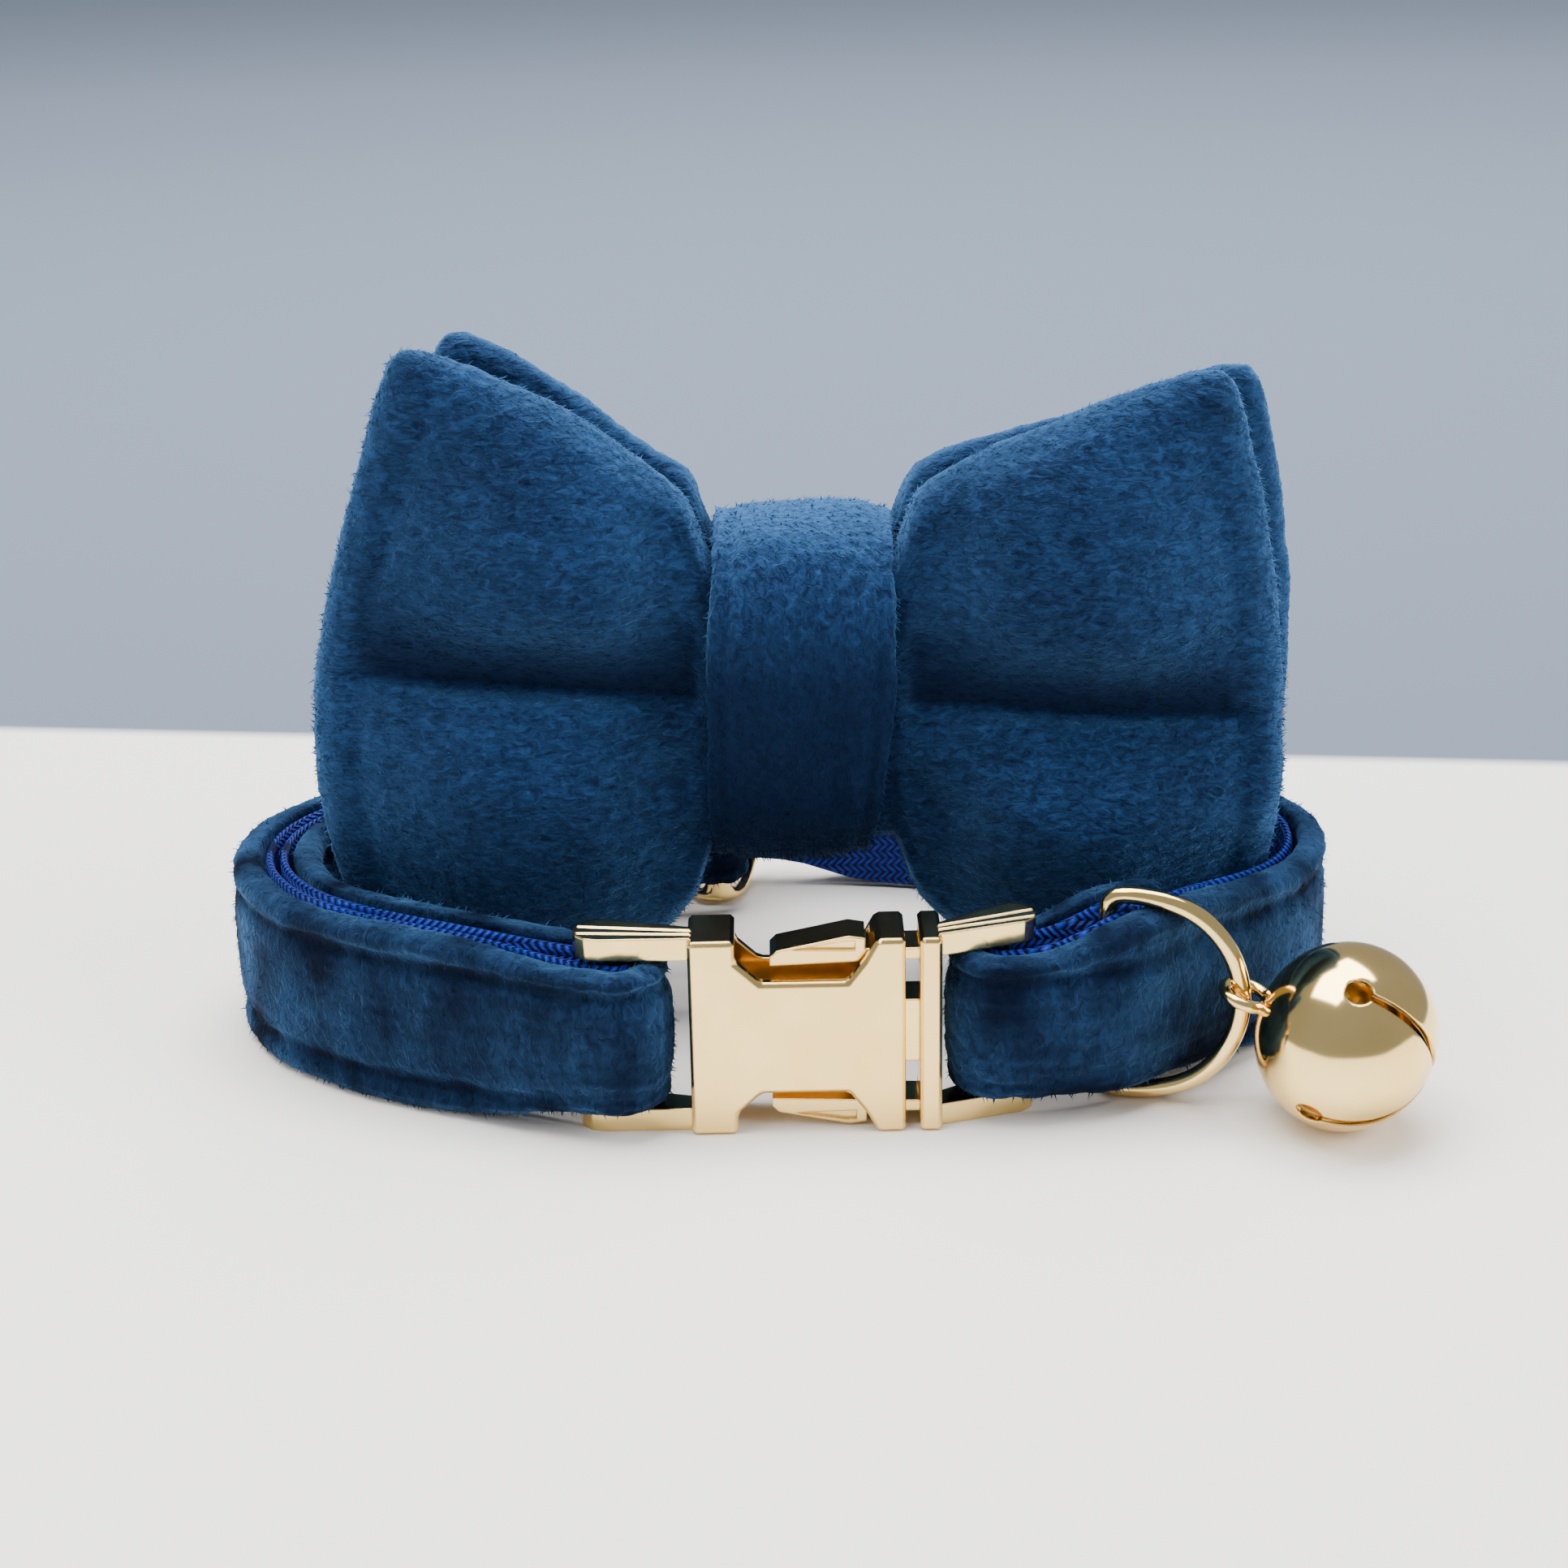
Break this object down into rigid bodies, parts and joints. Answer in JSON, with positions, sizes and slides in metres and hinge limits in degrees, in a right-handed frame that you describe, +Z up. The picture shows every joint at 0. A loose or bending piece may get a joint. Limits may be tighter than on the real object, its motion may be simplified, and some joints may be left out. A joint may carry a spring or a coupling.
{
  "type": "pet bow tie collar",
  "caption": "Velvet pet collar as a closed loop with a bow tie inside it, a side-release buckle, a slider, a D-ring and a round bell.",
  "frame": {"origin": "middle of the collar's box, on the surface that the collar stands on", "axes": "+Z up, +X to the right of the buckle's front along the loop's length, +Y from the buckle to the back of the loop"},
  "size_m": [0.1136, 0.071, 0.0685],
  "materials": {
    "velvet": "short pile with a sheen",
    "webbing": "woven, satin",
    "elastic": "matte",
    "gold": "polished pale gold plating"
  },
  "bodies": {
    "collar": {"strap_velvet": "velvet", "strap_webbing": "webbing", "female_buckle": "gold", "male_buckle": "gold", "d_ring": "gold", "bell": "gold", "bell_pellet": "gold", "slider": "gold", "bow_front": "velvet", "bow_rear": "velvet", "knot_band": "velvet", "bow_elastic": "elastic"},
    "upper_lever": {"upper_lever": "gold"},
    "lower_lever": {"lower_lever": "gold"}
  },
  "joints": [
    {"name": "upper_lever_press", "type": "hinge", "parent": "collar", "child": "upper_lever", "pos_m": [0.01078, -0.02385, 0.01725], "axis": [0, -1, 0], "range_deg": [0, 8], "stiffness_Nm_per_rad": 0.1},
    {"name": "lower_lever_press", "type": "hinge", "parent": "collar", "child": "lower_lever", "pos_m": [0.01078, -0.02385, 0.00195], "axis": [0, 1, 0], "range_deg": [0, 8], "stiffness_Nm_per_rad": 0.1}
  ]
}
